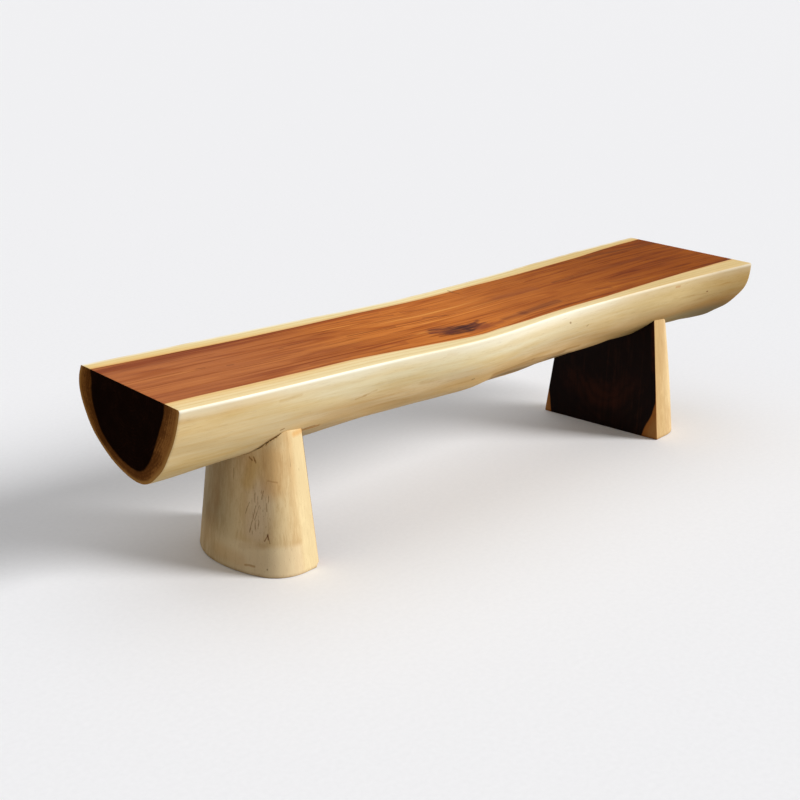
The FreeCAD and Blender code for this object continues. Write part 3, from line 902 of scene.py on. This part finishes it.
GRAIN_STREAKS = [
    ((-0.363, -0.009), (-0.230, -0.022), 0.006, 0.75, (134, 68, 30)),
    ((-0.217, -0.040), (-0.152, -0.050), 0.006, 0.45, (236, 154, 76)),
    ((-0.131, -0.013), (-0.069, -0.034), 0.006, 0.75, (128, 64, 30)),
    ((-0.391, 0.095), (-0.309, 0.092), 0.006, 0.55, (140, 72, 36)),
    ((-0.309, 0.092), (-0.184, 0.093), 0.006, 0.55, (146, 76, 38)),
    ((-0.279, 0.080), (-0.171, 0.055), 0.007, 0.60, (142, 72, 36)),
    ((-0.139, 0.061), (-0.070, 0.040), 0.007, 0.60, (144, 74, 36)),
    ((-0.406, -0.092), (-0.296, -0.130), 0.012, 0.50, (150, 72, 36)),
    ((-0.557, -0.122), (-0.464, -0.132), 0.007, 0.55, (150, 78, 40)),
    ((-0.464, -0.132), (-0.298, -0.143), 0.007, 0.60, (146, 72, 34)),
    ((0.130, -0.001), (0.270, 0.002), 0.028, 0.35, (140, 78, 48)),
    ((0.352, 0.013), (0.436, 0.020), 0.008, 0.70, (112, 60, 30)),
    ((0.436, 0.020), (0.740, 0.037), 0.006, 0.60, (116, 62, 28)),
    ((0.010, -0.147), (0.086, -0.139), 0.020, 0.50, (112, 60, 40)),
    ((0.080, -0.140), (0.225, -0.121), 0.024, 0.60, (102, 54, 36)),
    ((0.391, -0.106), (0.426, -0.120), 0.012, 0.55, (122, 60, 32)),
    ((0.471, -0.084), (0.577, -0.096), 0.008, 0.55, (116, 60, 28)),
    ((-0.669, -0.120), (-0.513, -0.134), 0.006, 0.50, (150, 80, 44)),
    ((-0.758, 0.015), (-0.739, 0.010), 0.004, 0.70, (120, 66, 40)),
    ((-0.694, -0.008), (-0.681, -0.011), 0.004, 0.70, (120, 66, 40)),
    ((-0.539, 0.016), (-0.531, 0.013), 0.004, 0.70, (120, 66, 40)),
    ((0.600, 0.148), (0.925, 0.130), 0.013, 0.55, (96, 50, 24)),
]


def streaks(g, wood, place, table, fraying):
    """Darkens or lightens the wood along streaks, frayed by the fibres."""
    fray = g.math("ADD", g.noise(place, (10, 140, 1), 5), -0.5)
    row_place = g.warped(g.row_place(), 9, 0.006)
    for start, end, width, strength, shade in table:
        stroke = g.stroke(row_place, (*start, SEAT_TOP), (*end, SEAT_TOP), width)
        mask = g.fade(g.math("MULTIPLY_ADD", fray, fraying, stroke), 0.0, 1.25)
        mask = g.times(mask, g.fade(stroke, 0.0, 0.45))
        wood = g.mix(g.times(mask, strength), wood, paint(*shade))
    return wood


# Small marks: the ends of each line in log places, its half width, strength and tint. Most ends
# were picked in the photograph, and another program worked out their places, here rounded.
def mark(start, end, width, strength, tint):
    return {"from_to": (start, end), "width": width, "strength": strength, "tint": tint}


HAIR_CRACK = (0.0016, 0.70, (166, 136, 106))
SEAT_MARKS_AND_SHADE = [
    mark((-0.595, -0.134, 0.150), (-0.548, -0.134, 0.150), 0.009, 0.7, (220, 176, 132)),
    mark((-0.585, -0.138, 0.146), (-0.560, -0.140, 0.144), 0.003, 0.8, (168, 122, 84)),
    mark((-0.660, -0.156, 0.125), (-0.652, -0.158, 0.123), 0.003, 0.8, (170, 124, 86)),
    mark((0.184, -0.198, 0.028), (0.188, -0.198, 0.031), 0.004, 0.7, (160, 128, 98)),
    mark((0.262, -0.192, 0.057), (0.265, -0.192, 0.054), 0.004, 0.5, (170, 138, 106)),
    mark((-0.122, -0.143, 0.128), (-0.116, -0.144, 0.126), 0.003, 0.8, (140, 106, 76)),
    mark((0.604, -0.200, 0.010), (0.620, -0.200, 0.010), 0.005, 0.5, (224, 170, 130)),
    mark((0.748, -0.194, 0.047), (0.753, -0.194, 0.048), 0.003, 0.8, (150, 96, 70)),
    mark((-0.480, -0.181, 0.084), (-0.455, -0.183, 0.080), 0.005, 0.5, (222, 196, 156)),
    mark((-0.460, -0.183, 0.078), (-0.430, -0.186, 0.070), 0.006, 0.4, (224, 200, 162)),
    mark((-0.690, -0.197, 0.030), (-0.640, -0.197, 0.026), 0.007, 0.3, (224, 200, 160)),
    mark((-0.250, -0.199, 0.012), (-0.225, -0.199, 0.016), 0.008, 0.35, (226, 204, 172)),
    mark((-0.300, -0.180, 0.085), (-0.240, -0.176, 0.095), 0.012, 0.35, (228, 206, 172)),
    # The last four darken the low belly along its crease and beneath it: painted shade.
    mark((-0.040, -0.140, 0.138), (0.108, -0.148, 0.134), 0.010, 0.45, (206, 176, 128)),
    mark((0.108, -0.148, 0.134), (0.300, -0.140, 0.144), 0.010, 0.45, (206, 176, 128)),
    mark((-0.030, -0.131, 0.147), (0.240, -0.131, 0.148), 0.018, 0.50, (186, 154, 108)),
    mark((-0.020, -0.116, 0.165), (0.290, -0.102, 0.172), 0.026, 0.60, (108, 86, 60)),
]
CRACKED_PATCH_WIDTH = 0.046
CRACKED_PATCH = ((0.190, 0.112, -0.131), (0.105, 0.124, -0.125))
LEG_MARKS = [
    mark((0.097, 0.113, -0.151), (0.083, 0.118, -0.145), 0.0022, 0.75, (160, 124, 88)),
    mark((0.099, 0.113, -0.151), (0.089, 0.113, -0.153), 0.0034, 0.70, (150, 112, 76)),
    mark((0.097, 0.113, -0.151), (0.080, 0.112, -0.156), 0.002, 0.70, (160, 124, 88)),
    mark((0.195, 0.109, -0.135), (0.176, 0.112, -0.133), *HAIR_CRACK),
    mark((0.165, 0.126, -0.105), (0.138, 0.131, -0.098), *HAIR_CRACK),
    mark((0.160, 0.120, -0.121), (0.129, 0.126, -0.116), *HAIR_CRACK),
    mark((0.124, 0.127, -0.115), (0.097, 0.132, -0.110), *HAIR_CRACK),
    mark((0.161, 0.116, -0.129), (0.126, 0.125, -0.120), *HAIR_CRACK),
    mark((0.170, 0.107, -0.143), (0.150, 0.109, -0.145), *HAIR_CRACK),
    mark((0.231, 0.130, -0.057), (0.205, 0.133, -0.059), *HAIR_CRACK),
    mark((0.219, 0.101, -0.142), (0.215, 0.087, -0.157), 0.003, 0.45, (196, 158, 114)),
    mark((0.264, 0.115, -0.098), (0.259, 0.113, -0.104), 0.0034, 0.70, (168, 128, 78)),
    mark((0.267, 0.112, -0.108), (0.259, 0.111, -0.111), 0.003, 0.70, (160, 120, 74)),
    mark((0.260, 0.111, -0.111), (0.256, 0.111, -0.113), 0.0034, 0.60, (168, 128, 78)),
    mark((0.019, 0.121, -0.156), (0.020, 0.121, -0.156), 0.0026, 0.70, (150, 116, 90)),
    mark((0.021, 0.144, -0.105), (0.022, 0.135, -0.128), 0.004, 0.60, (190, 148, 98)),
    mark((0.060, 0.143, -0.089), (0.070, 0.121, -0.143), 0.011, 0.20, (212, 182, 146)),
    mark((0.070, 0.121, -0.143), (0.073, 0.049, -0.183), 0.011, 0.15, (214, 186, 146)),
    mark((0.032, 0.160, -0.020), (0.028, 0.149, -0.090), 0.030, 0.30, (222, 184, 132)),
    mark((0.205, 0.095, -0.148), (0.270, 0.094, -0.145), 0.042, 0.50, (246, 212, 164)),
    mark((0.250, 0.114, -0.108), (0.208, 0.121, -0.099), 0.028, 0.60, (236, 218, 174)),
    mark((0.316, 0.006, -0.150), (0.313, 0.035, -0.155), 0.011, 0.70, (246, 210, 164)),
]
# Reddish gleams in the dark heartwood of the inner faces
LEG_GLOWS = [
    mark((0.115, 0.004, 0.090), (0.090, 0.003, 0.030), 0.055, 0.5, (56, 27, 17)),
    mark((0.090, 0.003, 0.030), (0.090, 0.003, -0.040), 0.055, 0.6, (60, 28, 17)),
    mark((0.090, 0.003, -0.040), (0.140, 0.005, -0.095), 0.050, 0.5, (54, 26, 17)),
    mark((0.040, 0.001, 0.050), (0.045, 0.001, -0.060), 0.040, 0.3, (46, 23, 15)),
    mark((0.200, 0.007, -0.172), (0.330, 0.012, -0.158), 0.022, 0.6, (92, 42, 19)),
]


def make_stage():
    """A plain pale floor that shows white to the camera but keeps the bench's shadow."""
    mesh = bpy.data.meshes.new("floor")
    size = 30
    mesh.from_pydata([(-size, -size, 0), (size, -size, 0), (size, size, 0), (-size, size, 0)],
                     [], [(0, 1, 2, 3)])
    floor = bpy.data.objects.new("floor", mesh)
    bpy.context.scene.collection.objects.link(floor)
    material, g = Graph.material("floor_paint")
    speckle = g.noise(g.row_place(), (90, 90, 90), 2)
    colour = g.mix(speckle, paint(240, 240, 242), paint(247, 247, 249))
    colour = g.mix(g.seen_plainly(), paint(176, 176, 178), colour)
    shader = g.node("ShaderNodeBsdfPrincipled", {"Base Color": colour, "Roughness": 0.9,
                                                 "Specular IOR Level": 0.1})
    g.node("ShaderNodeOutputMaterial", {"Surface": shader.outputs[0]})
    mesh.materials.append(material)


# Light: an even sky, a broad key from the front right and a weak one from overhead
SKY_LIGHT = 0.33
SKY_SEEN = 0.88
SUNS = {
    "key": {"from": (0.60, -0.66, 0.46), "strength": 3.3, "softness": 22},
    "overhead": {"from": (0.1, 0.25, 1.0), "strength": 0.5, "softness": 60},
}


def make_lights():
    world = bpy.data.worlds.new("studio")
    bpy.context.scene.world = world
    world.use_nodes = True
    g = Graph(world.node_tree)
    strength = g.fade(g.seen_plainly(), 0.0, 1.0, SKY_LIGHT, SKY_SEEN)
    sky = g.node("ShaderNodeBackground", {"Color": (1.0, 1.0, 1.0, 1.0), "Strength": strength})
    g.node("ShaderNodeOutputWorld", {"Surface": sky.outputs[0]})
    for name, sun in SUNS.items():
        light = bpy.data.lights.new(name, "SUN")
        light.energy = sun["strength"]
        light.angle = radians(sun["softness"])
        lamp = bpy.data.objects.new(name, light)
        lamp.rotation_euler = Vector(sun["from"]).to_track_quat("Z", "Y").to_euler()
        bpy.context.scene.collection.objects.link(lamp)


# The camera: another program fitted its place, turn in degrees and lens to the photograph
CAMERA_PLACE = (-2.2394, -2.32655, 1.3465)
CAMERA_TURN = (70.5541, 0, -41.3134)
CAMERA_LENS = 61.0
SENSOR_WIDTH = 36.0


def make_camera():
    data = bpy.data.cameras.new("camera")
    data.lens = CAMERA_LENS
    data.sensor_width = SENSOR_WIDTH
    camera = bpy.data.objects.new("camera", data)
    camera.location = CAMERA_PLACE
    camera.rotation_euler = [radians(turn) for turn in CAMERA_TURN]
    bpy.context.scene.collection.objects.link(camera)
    bpy.context.scene.camera = camera


def dress_tenons(material):
    for name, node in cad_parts.items():
        if name.endswith("tenon"):
            node.data.materials.clear()
            node.data.materials.append(material)


def main():
    end_timber = end_wood()
    seat_tree = make_seat([seat_wood(), end_timber])
    leg_materials = [leg_wood(), end_timber]
    for side in SIGNS:
        make_leg(side, seat_tree, leg_materials)
    dress_tenons(tenon_wood())
    make_stage()
    make_lights()
    make_camera()
    bpy.context.scene.view_settings.view_transform = "Standard"


main()
